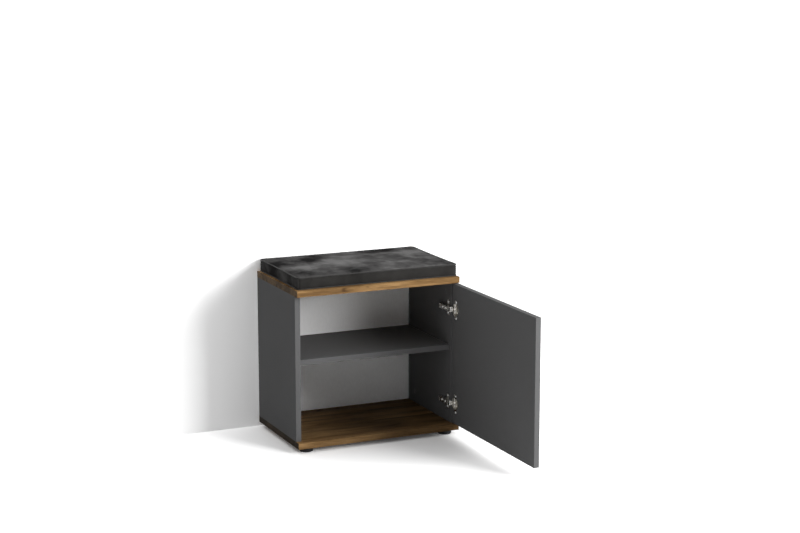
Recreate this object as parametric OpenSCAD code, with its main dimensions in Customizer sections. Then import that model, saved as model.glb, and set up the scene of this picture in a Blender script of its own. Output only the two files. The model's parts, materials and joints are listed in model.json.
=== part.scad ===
// Low shoe bench: two plates, two sides, a shelf, a hinged door on two concealed hinges and a seat cushion.
// Sizes are in millimetres. X runs to the right, Y to the back and Z up from the floor.

/* [Cabinet] */
// Width over the two sides
body_w = 500; // [380:1:700]
// Height from the underside of the base plate to the top of the top plate
body_h = 455; // [400:1:560]
// Depth of the sides
side_depth = 301; // [260:1:380]
// Thickness of the sides, the shelf and the door
board_t = 16; // [15:0.5:19]
// Thickness of the top plate and the base plate
plate_t = 18; // [16:0.5:22]
// How far both plates stand out in front of the sides
plate_front = 20; // [19:0.5:30]
// Thickness of the back panel
back_t = 3; // [2.5:0.5:5]
// Width of the ledges behind the boards that the back panel is nailed to
ledge_w = 8; // [6:0.5:10]
// Radius on the long edges of the boards
edge_r = 1; // [0.5:0.1:2]

/* [Shelf] */
// Height of the shelf's underside above the underside of the base plate
shelf_under = 234; // [150:1:270]
// How far the shelf's front edge lies behind the front edges of the sides
shelf_setback = 13.5; // [5:0.5:60]
// Gap between each end of the shelf and the side
shelf_side_gap = 0.5; // [0.3:0.1:1]
// Gap between the shelf and the back panel
shelf_back_gap = 1; // [0.5:0.5:5]
// Diameter of the shelf pins
shelf_pin_d = 5; // [4:0.5:6]

/* [Door] */
// How far each side stands past the closed door
door_reveal = 1.5; // [1:0.1:3]
// Gap between the closed door and the front edges of the sides
door_gap = 3; // [3:0.1:3.5]
// Gap above and below the door
door_end_gap = 2.5; // [2:0.1:5]
// Opening angle at which the door rests
door_rest_angle = 90.5; // [85:0.5:95]
// Largest opening angle
door_max_angle = 100; // [96:0.5:100]
// Distance from the right face of the cabinet to the inner face of the door at a quarter turn
open_inner = 15.5; // [15:0.1:16]
// Distance from the front edges of the sides to the hinge edge of the door at a quarter turn
open_front = 5; // [5:0.1:6]

/* [Hinges] */
// Height of the lower hinge above the bottom edge of the door
hinge_low = 60; // [50:1:120]
// Depth of the upper hinge below the top edge of the door
hinge_high = 75; // [50:1:120]
// Diameter of the hinge cup
cup_d = 35; // [34:0.5:36]
// Depth of the hinge cup in the door
cup_depth = 12; // [12:0.1:12.5]
// Wood left between the cup and the hinge edge of the door
cup_tab = 3; // [3:0.1:3.5]
// Distance between the two screws of the cup
cup_screw_pitch = 48; // [45:0.5:52]
// How far the cup's screws lie behind the middle of the cup, away from the hinge edge of the door
cup_screw_back = 6; // [5:0.5:9.5]
// Width of the cup's flange
flange_w = 15; // [14:0.5:20]
// Radius of the flange's corners, which is also the metal beyond each screw's middle
flange_r = 4; // [3.5:0.5:6]
// Distance from the front edge of the side to the screw line of the mounting plate
plate_line = 18; // [16:0.5:24]
// Distance between the two screws of the mounting plate
plate_screw_pitch = 32; // [30:1:34]
// Height of the mounting plate over both wings
wing_h = 46; // [42:0.5:50]
// Width of the hinge arm
arm_w = 13; // [13:0.1:14]
// How far the hinge arm stands off the side
arm_h = 12.5; // [12:0.1:13]
// How far the hinge arm reaches behind the front edge of the side
arm_tail = 58; // [54:0.5:64]

/* [Feet] */
// Height of the feet
foot_h = 13; // [8:0.5:30]
// Diameter of the feet
foot_d = 40; // [30:1:50]
// Distance from the sides' outer faces to the middle of a foot
foot_inset_x = 33; // [25:1:60]
// Distance from the sides' front edges to the middle of a front foot
foot_inset_front = 8; // [5:1:60]
// Distance from the sides' back edges to the middle of a rear foot
foot_inset_back = 33; // [25:1:60]

/* [Cushion] */
// Width of the cushion
cushion_w = 495; // [300:1:520]
// Depth of the cushion
cushion_d = 308; // [200:1:330]
// Height of the cushion at its edges
cushion_t = 35; // [25:1:60]
// Rise of the cushion's middle above its edges
cushion_crown = 5; // [2:0.5:12]
// How far the cushion's sides are drawn in between the corners
cushion_draw = 3; // [1:0.5:6]
// Radius of the cushion's corners
cushion_corner = 12; // [8:0.5:30]
// How far the cushion's front lies behind the front edge of the top plate
cushion_setback = 13; // [0:0.5:30]
// How far the cushion lies to the right of the middle
cushion_shift = 3; // [-5:0.5:5]

/* [Hidden] */
$fn = 48;
overrun = 1;
fit_gap = 0.05;
move_gap = 0.25;

// Heights above the floor
base_z = foot_h;
side_z = base_z + plate_t;
top_z = base_z + body_h - plate_t;
side_h = top_z - side_z;
inner_w = body_w - 2 * board_t;

// Back panel. It lies on the ledges, and its nails' heads stay in front of the boards' back edges.
panel_gap = 0.3;
nail_d = 1.6;
nail_head_d = 3.6;
nail_head_t = 0.6;
nail_l = 18;
nail_shares = [0.08, 0.36, 0.64, 0.92];
nail_clear = 0.4;
ledge_depth = back_t + nail_head_t + nail_clear;
back_y = side_depth - ledge_depth;
panel_reach = ledge_w - panel_gap;

// Shelf
shelf_z = base_z + shelf_under;
shelf_w = inner_w - 2 * shelf_side_gap;
shelf_d = back_y - shelf_setback - shelf_back_gap;
shelf_pin_bore = 9;
shelf_pin_out = 7;
shelf_pin_share = 0.16;

// Door, drawn closed and then turned about its axis by the rest angle
door_w = body_w - 2 * door_reveal;
door_h = side_h - 2 * door_end_gap;
door_z = side_z + door_end_gap;
door_back_y = -door_gap;
axis_sum = -open_inner - door_gap;
axis_difference = door_reveal - open_front;
axis_u = (axis_sum - axis_difference) / 2;
axis_v = (axis_sum + axis_difference) / 2;
axis_x = body_w + axis_u;
axis_y = axis_v;

// Hinges. Each has its own frame, from the right side's outer face at its front edge and the hinge's middle.
hinge_zs = [door_z + hinge_low, door_z + door_h - hinge_high];
cup_r = cup_d / 2;
cup_wall = 0.8;
cup_u = -door_reveal - cup_tab - cup_r;
cup_floor_v = door_back_y - cup_depth;
flange_t = 1.2;
side_face_u = -board_t;
sheet_t = 1.2;
pin_r = 1;
eye_rim = 0.7;
// Each arm pin lies on the arm's nose, and each cup pin lies in the cup, near the door's axis.
outer_cup_radius = 4;
outer_cup_angle = 123;
outer_arm_radius = 16.8;
outer_arm_angle = 173;
inner_cup_radius = 2.8;
inner_cup_angle = 112;
inner_arm_radius = 13.4;
inner_arm_angle = 162;
function polar(r, a) = [r * cos(a), r * sin(a)];
function direction(p, q) = atan2(q.y - p.y, q.x - p.x);
function turned(p, a) = [p.x * cos(a) - p.y * sin(a), p.x * sin(a) + p.y * cos(a)];
axis_uv = [axis_u, axis_v];
outer_arm_pin = axis_uv + polar(outer_arm_radius, outer_arm_angle);
inner_arm_pin = axis_uv + polar(inner_arm_radius, inner_arm_angle);
function outer_cup_pin_at(angle) = axis_uv + polar(outer_cup_radius, outer_cup_angle + angle);
function inner_cup_pin_at(angle) = axis_uv + polar(inner_cup_radius, inner_cup_angle + angle);
outer_cup_pin = outer_cup_pin_at(0);
inner_cup_pin = inner_cup_pin_at(0);
outer_angle_closed = direction(outer_arm_pin, outer_cup_pin);
inner_angle_closed = direction(inner_arm_pin, inner_cup_pin);
outer_angle = direction(outer_arm_pin, outer_cup_pin_at(door_rest_angle));
inner_angle = direction(inner_arm_pin, inner_cup_pin_at(door_rest_angle));
outer_ratio = (outer_angle - outer_angle_closed) / door_rest_angle;
inner_ratio = (inner_angle - inner_angle_closed) / door_rest_angle;
// Each cup pin runs along its link, from a near place half way through the swing to a far one at its ends.
function on_link(pin, arm_pin, turn) = turned(pin - arm_pin, -turn);
function outer_track_at(angle) =
    on_link(outer_cup_pin_at(angle), outer_arm_pin, outer_angle_closed + outer_ratio * angle);
function inner_track_at(angle) =
    on_link(inner_cup_pin_at(angle), inner_arm_pin, inner_angle_closed + inner_ratio * angle);
outer_near = outer_track_at(door_max_angle / 2);
inner_near = inner_track_at(door_max_angle / 2);
outer_far = [max(outer_track_at(0).x, outer_track_at(door_max_angle).x), outer_near.y];
inner_far = [max(inner_track_at(0).x, inner_track_at(door_max_angle).x), inner_near.y];
// Layers across the hinge, counted from its middle to one side
ear_t = 0.8;
outer_link_t = 1.1;
cheek_in = arm_w / 2 - sheet_t;
outer_link_in = cheek_in - move_gap - outer_link_t;
ear_in = outer_link_in - move_gap - ear_t;
inner_link_half = ear_in - move_gap;
rivet_t = 0.5;
rivet_r = 1.7;
boss_gap = 2;
boss_in = arm_w / 2 + rivet_t + boss_gap;
boss_r = 2.2;
nose_r = 2.7;
cheek_low = 2;
slot_gap = 0.45;
bar_half = 1.3;
outer_bend_shares = [0.55, -0.15];
inner_bend_shares = [0.38, -0.42];
outer_pin_reach = boss_in + cup_wall;
// Mounting plate, and the screws that clamp and adjust the arm on its rail
wing_t = 2;
wing_d = 12;
rail_back = 22;
rail_half = 3.6;
adjust_screw_d = 4;
adjust_head_d = 7;
adjust_head_t = 1.8;
screw_ys = [plate_line - wing_d / 2 + adjust_head_d / 2, plate_line + rail_back - adjust_head_d / 2];

// Fittings
cam_d = 15;
cam_depth = 12.5;
cam_slot_shares = [0.1, 0.6];
cam_line = 34;
cam_inset_front = 37;
cam_inset_back = 50;
bolt_head_d = 7;
bolt_shank_d = 5;
bolt_neck_d = 4;
bolt_in_plate = 11;
dowel_d = 8;
dowel_in_plate = 12;
dowel_in_side = 20;
dowel_inset = 69;
joint_ys = [cam_inset_front, side_depth - cam_inset_back];
dowel_ys = [dowel_inset, side_depth - cam_inset_back - (dowel_inset - cam_inset_front)];
foot_screw_d = 4;
foot_screw_head_d = 8;
foot_screw_in_plate = 12;
foot_floor_t = 5;
foot_rim_share = 0.86;
foot_top_share = 0.92;
small_screw_d = 3.5;
small_screw_head_d = 6.5;
small_screw_in_board = 10;
small_screw_head_t = 1.6;
small_screw_top_d = 4.6;
recess_shares = [0.125, 0.6];

// Cushion
cushion_gap = 0.3;
welt = 1.4;
welt_z = 3;
corner_steps = 5;
long_steps = 12;
short_steps = 8;
crown_shares = [0.92, 0.78, 0.58, 0.32];
crown_power = 2.4;
pull_power = 2;
side_power = 8;

// The frame's origin lies on the floor under the middle of everything, with the door at its rest angle.
door_far_x = axis_x + (-body_w + door_reveal - axis_u) * cos(door_rest_angle)
    - (door_back_y - board_t - axis_y) * sin(door_rest_angle);
door_near_x = axis_x + (-door_reveal - axis_u) * cos(door_rest_angle)
    - (door_back_y - board_t - axis_y) * sin(door_rest_angle);
door_far_y = axis_y + (-body_w + door_reveal - axis_u) * sin(door_rest_angle)
    + (door_back_y - board_t - axis_y) * cos(door_rest_angle);
door_far_in_y = axis_y + (-body_w + door_reveal - axis_u) * sin(door_rest_angle)
    + (door_back_y - axis_y) * cos(door_rest_angle);
cushion_right_x = body_w / 2 + cushion_shift + cushion_w / 2;
cushion_left_x = body_w / 2 + cushion_shift - cushion_w / 2;
all_right_x = max(body_w, door_far_x, door_near_x, cushion_right_x);
all_left_x = min(0, cushion_left_x);
all_front_y = min(door_far_y, door_far_in_y);
cushion_back_y = -plate_front + cushion_setback + cushion_d;
all_back_y = max(side_depth, cushion_back_y);
middle_x = (all_left_x + all_right_x) / 2;
middle_y = (all_front_y + all_back_y) / 2;

module placed() {
    translate([-middle_x, -middle_y, 0]) children();
}

module swung() {
    translate([axis_x, axis_y, 0])
        rotate([0, 0, door_rest_angle])
            translate([-axis_x, -axis_y, 0])
                children();
}

module at_hinge(z) {
    translate([body_w, 0, z]) children();
}

// A rectangle with rounded corners, from whole circles and squares so that its arcs stay true
module rounded_rect(w, h, r) {
    translate([r, 0]) square([w - 2 * r, h]);
    translate([0, r]) square([w, h - 2 * r]);
    for (x = [r, w - r], y = [r, h - r])
        translate([x, y]) circle(r = r);
}

// A board whose long edges run along X
module board_along_x(w, d, t) {
    rotate([90, 0, 90]) linear_extrude(height = w) rounded_rect(d, t, edge_r);
}

// A board whose long edges run along Z
module board_along_z(w, d, h) {
    linear_extrude(height = h) rounded_rect(w, d, edge_r);
}

// Bores for cams, bolts and dowels

module cam_places() {
    for (y = joint_ys) {
        translate([0, y, side_z + cam_line]) children();
        translate([0, y, top_z - cam_line]) children();
    }
}

module bolt_places() {
    for (x = [board_t / 2, body_w - board_t / 2], y = joint_ys) {
        translate([x, y, side_z]) mirror([0, 0, 1]) children();
        translate([x, y, top_z]) children();
    }
}

module dowel_places() {
    for (x = [board_t / 2, body_w - board_t / 2], y = dowel_ys) {
        translate([x, y, side_z]) mirror([0, 0, 1]) children();
        translate([x, y, top_z]) children();
    }
}

module bolt_bore() {
    translate([0, 0, -cam_line]) cylinder(d = bolt_head_d + 2 * fit_gap, h = cam_line + overrun);
}

module bolt_pilot() {
    translate([0, 0, -overrun])
        cylinder(d = bolt_shank_d + 2 * fit_gap, h = bolt_in_plate + fit_gap + overrun);
}

module dowel_bore_side() {
    translate([0, 0, -dowel_in_side - fit_gap])
        cylinder(d = dowel_d + 2 * fit_gap, h = dowel_in_side + fit_gap + overrun);
}

module dowel_bore_plate() {
    translate([0, 0, -overrun])
        cylinder(d = dowel_d + 2 * fit_gap, h = dowel_in_plate + fit_gap + overrun);
}

// Ledges for the back panel, as one block that is taken out of both sides and both plates

module back_ledge() {
    translate([board_t - ledge_w, back_y, side_z - ledge_w])
        cube([inner_w + 2 * ledge_w, ledge_depth + overrun, side_h + 2 * ledge_w]);
}

// Places of the nails, along the middle of the ledges

module nail_places() {
    for (s = nail_shares) {
        for (x = [board_t - ledge_w / 2, body_w - board_t + ledge_w / 2])
            translate([x, back_y, side_z + side_h * s]) children();
        for (z = [side_z - ledge_w / 2, top_z + ledge_w / 2])
            translate([body_w * s, back_y, z]) children();
    }
}

module nail_bore() {
    rotate([90, 0, 0]) translate([0, 0, -back_t - overrun])
        cylinder(d = nail_d + 2 * fit_gap, h = nail_l + back_t + overrun + fit_gap);
}

// Boards

module plate(z) {
    translate([0, -plate_front, z]) board_along_x(body_w, side_depth + plate_front, plate_t);
}

module top_plate() {
    color("peru") placed() difference() {
        plate(top_z);
        back_ledge();
        bolt_places() bolt_pilot();
        dowel_places() dowel_bore_plate();
        nail_places() nail_bore();
    }
}

module base_plate() {
    color("sienna") placed() difference() {
        plate(base_z);
        back_ledge();
        bolt_places() bolt_pilot();
        dowel_places() dowel_bore_plate();
        nail_places() nail_bore();
        foot_places() foot_screw_bore();
    }
}

module side_cuts() {
    back_ledge();
    bolt_places() bolt_bore();
    dowel_places() dowel_bore_side();
    nail_places() nail_bore();
    shelf_pin_places() shelf_pin_hole();
}

module left_side() {
    color("dimgray") placed() difference() {
        translate([0, 0, side_z]) board_along_z(board_t, side_depth, side_h);
        side_cuts();
        translate([board_t, 0, 0]) mirror([1, 0, 0]) cam_places() cam_bore();
    }
}

module right_side() {
    color("dimgray") placed() difference() {
        translate([body_w - board_t, 0, side_z]) board_along_z(board_t, side_depth, side_h);
        side_cuts();
        translate([body_w - board_t, 0, 0]) cam_places() cam_bore();
        mounting_screw_places() small_screw_bore();
    }
}

module back_panel() {
    color("silver") placed() difference() {
        translate([board_t - panel_reach, back_y, side_z - panel_reach])
            cube([inner_w + 2 * panel_reach, back_t, side_h + 2 * panel_reach]);
        nail_places() nail_bore();
    }
}

module shelf() {
    color("dimgray") placed()
        translate([board_t + shelf_side_gap, shelf_setback, shelf_z])
            board_along_x(shelf_w, shelf_d, board_t);
}

// Shelf pins, which stand in bores in the sides and carry the shelf from below

module shelf_pin_places() {
    pin_z = shelf_z - shelf_pin_d / 2;
    for (s = [shelf_pin_share, 1 - shelf_pin_share]) {
        translate([board_t, side_depth * s, pin_z]) rotate([0, 90, 0]) children();
        translate([body_w - board_t, side_depth * s, pin_z]) rotate([0, -90, 0]) children();
    }
}

module shelf_pin_hole() {
    translate([0, 0, -shelf_pin_bore - fit_gap])
        cylinder(d = shelf_pin_d + 2 * fit_gap, h = shelf_pin_bore + fit_gap + overrun);
}

module shelf_pins() {
    color("lightgray") placed() shelf_pin_places()
        translate([0, 0, -shelf_pin_bore]) cylinder(d = shelf_pin_d, h = shelf_pin_bore + shelf_pin_out);
}

// Door

module door_blank() {
    translate([door_reveal, door_back_y - board_t, door_z]) board_along_z(door_w, board_t, door_h);
}

module door() {
    color("gray") placed() swung() difference() {
        door_blank();
        for (z = hinge_zs) at_hinge(z) {
            translate([cup_u, cup_floor_v - fit_gap, 0])
                rotate([-90, 0, 0]) cylinder(r = cup_r + fit_gap, h = cup_depth + fit_gap + overrun);
        }
        cup_screw_places() small_screw_bore();
    }
}

// Feet

module foot_places() {
    for (x = [foot_inset_x, body_w - foot_inset_x], y = [foot_inset_front, side_depth - foot_inset_back])
        translate([x, y, 0]) children();
}

module foot_screw_bore() {
    translate([0, 0, base_z - overrun])
        cylinder(d = foot_screw_d + 2 * fit_gap, h = foot_screw_in_plate + fit_gap + overrun);
}

module foot() {
    color("black") {
        r = foot_d / 2;
        ease = foot_h * (1 - foot_rim_share);
        hole_r = foot_screw_d / 2 + fit_gap;
        recess_r = foot_screw_head_d / 2 + sheet_t;
        rotate_extrude() polygon([
            [hole_r, foot_h - foot_floor_t], [recess_r, foot_h - foot_floor_t], [recess_r, 0],
            [r * foot_top_share - ease, 0], [r - ease, 0], [r, ease * 2], [r, foot_h / 2],
            [r * foot_top_share, foot_h], [hole_r, foot_h]
        ]);
    }
}

module front_left_foot() {
    placed() translate([foot_inset_x, foot_inset_front, 0]) foot();
}

module front_right_foot() {
    placed() translate([body_w - foot_inset_x, foot_inset_front, 0]) foot();
}

module rear_left_foot() {
    placed() translate([foot_inset_x, side_depth - foot_inset_back, 0]) foot();
}

module rear_right_foot() {
    placed() translate([body_w - foot_inset_x, side_depth - foot_inset_back, 0]) foot();
}

module foot_screws() {
    color("lightgray") placed() foot_places() {
        head_z = foot_h - foot_floor_t;
        translate([0, 0, head_z - small_screw_head_t])
            cylinder(d = foot_screw_head_d, h = small_screw_head_t);
        translate([0, 0, head_z - small_screw_head_t])
            cylinder(d = foot_screw_d, h = small_screw_head_t + foot_floor_t + foot_screw_in_plate);
    }
}

// Fittings that hold the boards together

module cam_bore() {
    rotate([0, 90, 0]) translate([0, 0, -overrun])
        cylinder(d = cam_d + 2 * fit_gap, h = cam_depth + fit_gap + overrun);
}

module cam(up) {
    slot_w = cam_d * cam_slot_shares[0];
    slot_l = cam_d * cam_slot_shares[1];
    difference() {
        rotate([0, 90, 0]) cylinder(d = cam_d, h = cam_depth);
        translate([board_t / 2, 0, 0]) mirror([0, 0, up ? 0 : 1]) translate([0, 0, -bolt_head_d / 2])
            cylinder(d = bolt_head_d + 4 * fit_gap, h = cam_d);
        translate([-overrun, -slot_w / 2, -slot_l / 2]) cube([overrun + slot_w, slot_w, slot_l]);
        translate([-overrun, -slot_l / 2, -slot_w / 2]) cube([overrun + slot_w, slot_l, slot_w]);
    }
}

module cams_of_side() {
    for (y = joint_ys) {
        translate([0, y, side_z + cam_line]) cam(false);
        translate([0, y, top_z - cam_line]) cam(true);
    }
}

module cam_locks() {
    color("lightsteelblue") placed() {
        translate([board_t, 0, 0]) mirror([1, 0, 0]) cams_of_side();
        translate([body_w - board_t, 0, 0]) cams_of_side();
    }
}

module cam_bolt() {
    head_l = bolt_head_d / 2;
    translate([0, 0, -cam_line - head_l / 2]) cylinder(d = bolt_head_d - 2 * fit_gap, h = head_l);
    translate([0, 0, -cam_line]) cylinder(d = bolt_neck_d, h = cam_line);
    translate([0, 0, -head_l]) cylinder(d = bolt_head_d - 2 * fit_gap, h = head_l);
    translate([0, 0, -fit_gap]) cylinder(d = bolt_shank_d, h = bolt_in_plate + fit_gap);
}

module cam_bolts() {
    color("gainsboro") placed() bolt_places() cam_bolt();
}

module dowels() {
    color("burlywood") placed() dowel_places()
        translate([0, 0, -dowel_in_side]) cylinder(d = dowel_d, h = dowel_in_side + dowel_in_plate);
}

module back_panel_nails() {
    color("gray") placed() nail_places() rotate([90, 0, 0]) {
        translate([0, 0, -back_t]) cylinder(d = nail_d, h = nail_l + back_t);
        translate([0, 0, -back_t - nail_head_t]) cylinder(d = nail_head_d, h = nail_head_t);
    }
}

// Screws of the hinges

module small_screw_bore() {
    translate([0, 0, -small_screw_in_board - fit_gap])
        cylinder(d = small_screw_d + 2 * fit_gap, h = small_screw_in_board + overrun);
}

module small_screw() {
    recess_w = small_screw_head_d * recess_shares[0];
    recess_l = small_screw_head_d * recess_shares[1];
    difference() {
        union() {
            translate([0, 0, -small_screw_in_board])
                cylinder(d = small_screw_d, h = small_screw_in_board + overrun);
            cylinder(d1 = small_screw_head_d, d2 = small_screw_top_d, h = small_screw_head_t);
        }
        for (turn = [0, 90])
            rotate([0, 0, turn]) translate([-recess_l / 2, -recess_w / 2, small_screw_head_t / 2])
                cube([recess_l, recess_w, small_screw_head_t]);
    }
}

module cup_screw_places() {
    for (z = hinge_zs, side = [-1, 1]) at_hinge(z)
        translate([cup_u - cup_screw_back, door_back_y + flange_t, side * cup_screw_pitch / 2])
            rotate([-90, 0, 0]) children();
}

module mounting_screw_places() {
    for (z = hinge_zs, side = [-1, 1]) at_hinge(z)
        translate([side_face_u - wing_t, plate_line, side * plate_screw_pitch / 2])
            rotate([0, -90, 0]) children();
}

module cup_screws() {
    color("gainsboro") placed() swung() cup_screw_places() small_screw();
}

module mounting_plate_screws() {
    color("gainsboro") placed() mounting_screw_places() small_screw();
}

// Mounting plate: two wings with the screws and a rail that carries the arm

module mounting_plate(z) {
    color("silver") placed() at_hinge(z) difference() {
        union() {
            translate([side_face_u, plate_line, 0]) rotate([0, -90, 0]) linear_extrude(height = wing_t) {
                for (side = [-1, 1])
                    translate([side * (wing_h - wing_d) / 2, 0]) circle(d = wing_d);
                square([wing_h - wing_d, wing_d], center = true);
            }
            translate([side_face_u - wing_t, plate_line - wing_d, -cheek_in + move_gap])
                cube([wing_t, wing_d + rail_back, 2 * (cheek_in - move_gap)]);
            translate([side_face_u - arm_h + sheet_t + fit_gap, plate_line - wing_d, -rail_half])
                cube([arm_h - sheet_t - fit_gap, wing_d + rail_back, 2 * rail_half]);
        }
        for (side = [-1, 1])
            translate([side_face_u + overrun, plate_line, side * plate_screw_pitch / 2])
                rotate([0, -90, 0]) cylinder(d = small_screw_d + 2 * fit_gap, h = wing_t + 2 * overrun);
        translate([side_face_u, screw_ys[0], 0])
            rotate([0, -90, 0]) cylinder(d = adjust_screw_d + 2 * fit_gap, h = arm_h);
        translate([side_face_u, screw_ys[1], 0])
            rotate([0, -90, 0]) cylinder(d = adjust_screw_d + 2 * fit_gap, h = arm_h);
    }
}

module lower_mounting_plate() { mounting_plate(hinge_zs[0]); }

module upper_mounting_plate() { mounting_plate(hinge_zs[1]); }

// Arm: a channel of sheet with two cheeks, whose nose carries the two link pins

module cheek_outline() {
    top = -side_face_u + arm_h;
    low = -side_face_u + cheek_low;
    root_far = [-top + nose_r, 0];
    root_near = [-low - nose_r, 0];
    translate([-top, 0]) square([top - low, arm_tail - nose_r]);
    translate([-top, 0]) square([top - low - nose_r, arm_tail]);
    translate([-low - nose_r, arm_tail - nose_r]) circle(r = nose_r);
    bar(root_far, outer_arm_pin, nose_r);
    bar(outer_arm_pin, inner_arm_pin, nose_r);
    bar(inner_arm_pin, root_near, nose_r);
    polygon([root_far, outer_arm_pin, inner_arm_pin, root_near]);
}

module hinge_arm(z) {
    color("silver") placed() at_hinge(z) difference() {
        union() {
            for (side = [0, 1]) mirror([0, 0, side])
                translate([0, 0, cheek_in]) linear_extrude(height = sheet_t) cheek_outline();
            translate([side_face_u - arm_h, -nose_r, -arm_w / 2]) cube([sheet_t, arm_tail + nose_r, arm_w]);
        }
        for (pin = [outer_arm_pin, inner_arm_pin])
            translate([pin.x, pin.y, -arm_w]) cylinder(r = pin_r + fit_gap, h = 2 * arm_w);
        for (y = screw_ys)
            translate([side_face_u - arm_h + 2 * sheet_t, y, 0])
                rotate([0, -90, 0]) cylinder(d = adjust_screw_d + 2 * fit_gap, h = 4 * sheet_t);
    }
}

module lower_hinge_arm() { hinge_arm(hinge_zs[0]); }

module upper_hinge_arm() { hinge_arm(hinge_zs[1]); }

module hinge_adjusting_screws() {
    recess_w = adjust_head_d * recess_shares[0];
    recess_l = adjust_head_d * recess_shares[1];
    color("gainsboro") placed() for (z = hinge_zs, y = screw_ys) at_hinge(z)
        translate([side_face_u - arm_h, y, 0]) rotate([0, -90, 0]) difference() {
            union() {
                cylinder(d = adjust_head_d, h = adjust_head_t);
                translate([0, 0, -arm_h + adjust_screw_d / 2])
                    cylinder(d = adjust_screw_d, h = arm_h - adjust_screw_d / 2 + sheet_t);
            }
            for (turn = [0, 90])
                rotate([0, 0, turn]) translate([-recess_l / 2, -recess_w / 2, adjust_head_t / 2])
                    cube([recess_l, recess_w, adjust_head_t]);
        }
}

module hinge_arm_pins() {
    color("gainsboro") placed() for (z = hinge_zs, pin = [outer_arm_pin, inner_arm_pin]) at_hinge(z)
        translate([pin.x, pin.y, 0]) {
            translate([0, 0, -arm_w / 2]) cylinder(r = pin_r, h = arm_w);
            for (side = [0, 1]) mirror([0, 0, side])
                translate([0, 0, arm_w / 2]) cylinder(r = rivet_r, h = rivet_t);
        }
}

// Cup: pressed into the door, with a flange, two bosses for the outer pins and two ears for the inner pin

module flange_outline() {
    translate([-cup_screw_back - flange_r, -cup_screw_pitch / 2 - flange_r])
        rounded_rect(flange_w, cup_screw_pitch + 2 * flange_r, flange_r);
    circle(r = cup_r + sheet_t);
}

module hinge_cup(z) {
    color("silver") placed() swung() at_hinge(z) difference() {
        union() {
            translate([cup_u, cup_floor_v, 0]) rotate([-90, 0, 0]) difference() {
                union() {
                    cylinder(r = cup_r, h = cup_depth);
                    translate([0, 0, cup_depth]) linear_extrude(height = flange_t) flange_outline();
                }
                translate([0, 0, cup_wall])
                    cylinder(r = cup_r - cup_wall, h = cup_depth + flange_t + overrun);
            }
            intersection() {
                for (side = [0, 1]) mirror([0, 0, side])
                    translate([outer_cup_pin.x, outer_cup_pin.y, boss_in]) cylinder(r = boss_r, h = cup_r);
                translate([cup_u, cup_floor_v, 0]) rotate([-90, 0, 0])
                    cylinder(r = cup_r - cup_wall / 2, h = cup_depth);
            }
            for (side = [0, 1]) mirror([0, 0, side])
                translate([inner_cup_pin.x - boss_r, cup_floor_v + cup_wall / 2, ear_in])
                    cube([2 * boss_r, inner_cup_pin.y - cup_floor_v - cup_wall / 2, ear_t]);
            for (side = [0, 1]) mirror([0, 0, side])
                translate([inner_cup_pin.x, inner_cup_pin.y, ear_in]) cylinder(r = boss_r, h = ear_t);
        }
        translate([outer_cup_pin.x, outer_cup_pin.y, -outer_pin_reach])
            cylinder(r = pin_r + fit_gap, h = 2 * outer_pin_reach);
        translate([inner_cup_pin.x, inner_cup_pin.y, -outer_link_in])
            cylinder(r = pin_r + fit_gap, h = 2 * outer_link_in);
        for (side = [-1, 1])
            translate([cup_u - cup_screw_back, door_back_y - overrun, side * cup_screw_pitch / 2])
                rotate([-90, 0, 0]) cylinder(d = small_screw_d + 2 * fit_gap, h = flange_t + 2 * overrun);
    }
}

module lower_hinge_cup() { hinge_cup(hinge_zs[0]); }

module upper_hinge_cup() { hinge_cup(hinge_zs[1]); }

module hinge_cup_pins() {
    color("gainsboro") placed() swung() for (z = hinge_zs) at_hinge(z) {
        for (side = [0, 1]) mirror([0, 0, side])
            translate([outer_cup_pin.x, outer_cup_pin.y, outer_link_in - move_gap / 2])
                cylinder(r = pin_r, h = outer_pin_reach - outer_link_in + move_gap / 2);
        translate([inner_cup_pin.x, inner_cup_pin.y, -ear_in - ear_t])
            cylinder(r = pin_r, h = 2 * (ear_in + ear_t));
    }
}

// Links. Each turns on its arm pin, and its slotted end runs on the cup pin.

module bar(a, b, r) {
    translate(a) circle(r = r);
    translate(b) circle(r = r);
    translate(a) rotate([0, 0, direction(a, b)]) translate([0, -r]) square([norm(b - a), 2 * r]);
}

module link_outline(near, far, bend_shares) {
    slot_r = pin_r + slot_gap;
    bend = near.x * bend_shares;
    difference() {
        union() {
            circle(r = slot_r + eye_rim);
            bar([0, 0], bend, bar_half);
            bar(bend, near, bar_half);
            bar(near, far, slot_r + eye_rim);
        }
        circle(r = pin_r + fit_gap);
        bar(near, far, slot_r);
    }
}

module outer_link(z) {
    color("darkgray") placed() at_hinge(z)
        translate([outer_arm_pin.x, outer_arm_pin.y, 0]) rotate([0, 0, outer_angle])
            for (side = [0, 1]) mirror([0, 0, side])
                translate([0, 0, outer_link_in]) linear_extrude(height = outer_link_t)
                    link_outline(outer_near, outer_far, outer_bend_shares);
}

module lower_outer_link() { outer_link(hinge_zs[0]); }

module upper_outer_link() { outer_link(hinge_zs[1]); }

module inner_link(z) {
    color("darkgray") placed() at_hinge(z)
        translate([inner_arm_pin.x, inner_arm_pin.y, -inner_link_half]) rotate([0, 0, inner_angle])
            linear_extrude(height = 2 * inner_link_half)
                link_outline(inner_near, inner_far, inner_bend_shares);
}

module lower_inner_link() { inner_link(hinge_zs[0]); }

module upper_inner_link() { inner_link(hinge_zs[1]); }

// Cushion: rings of one rounded outline, drawn in between the corners, with a welt at each edge and a crown

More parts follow.
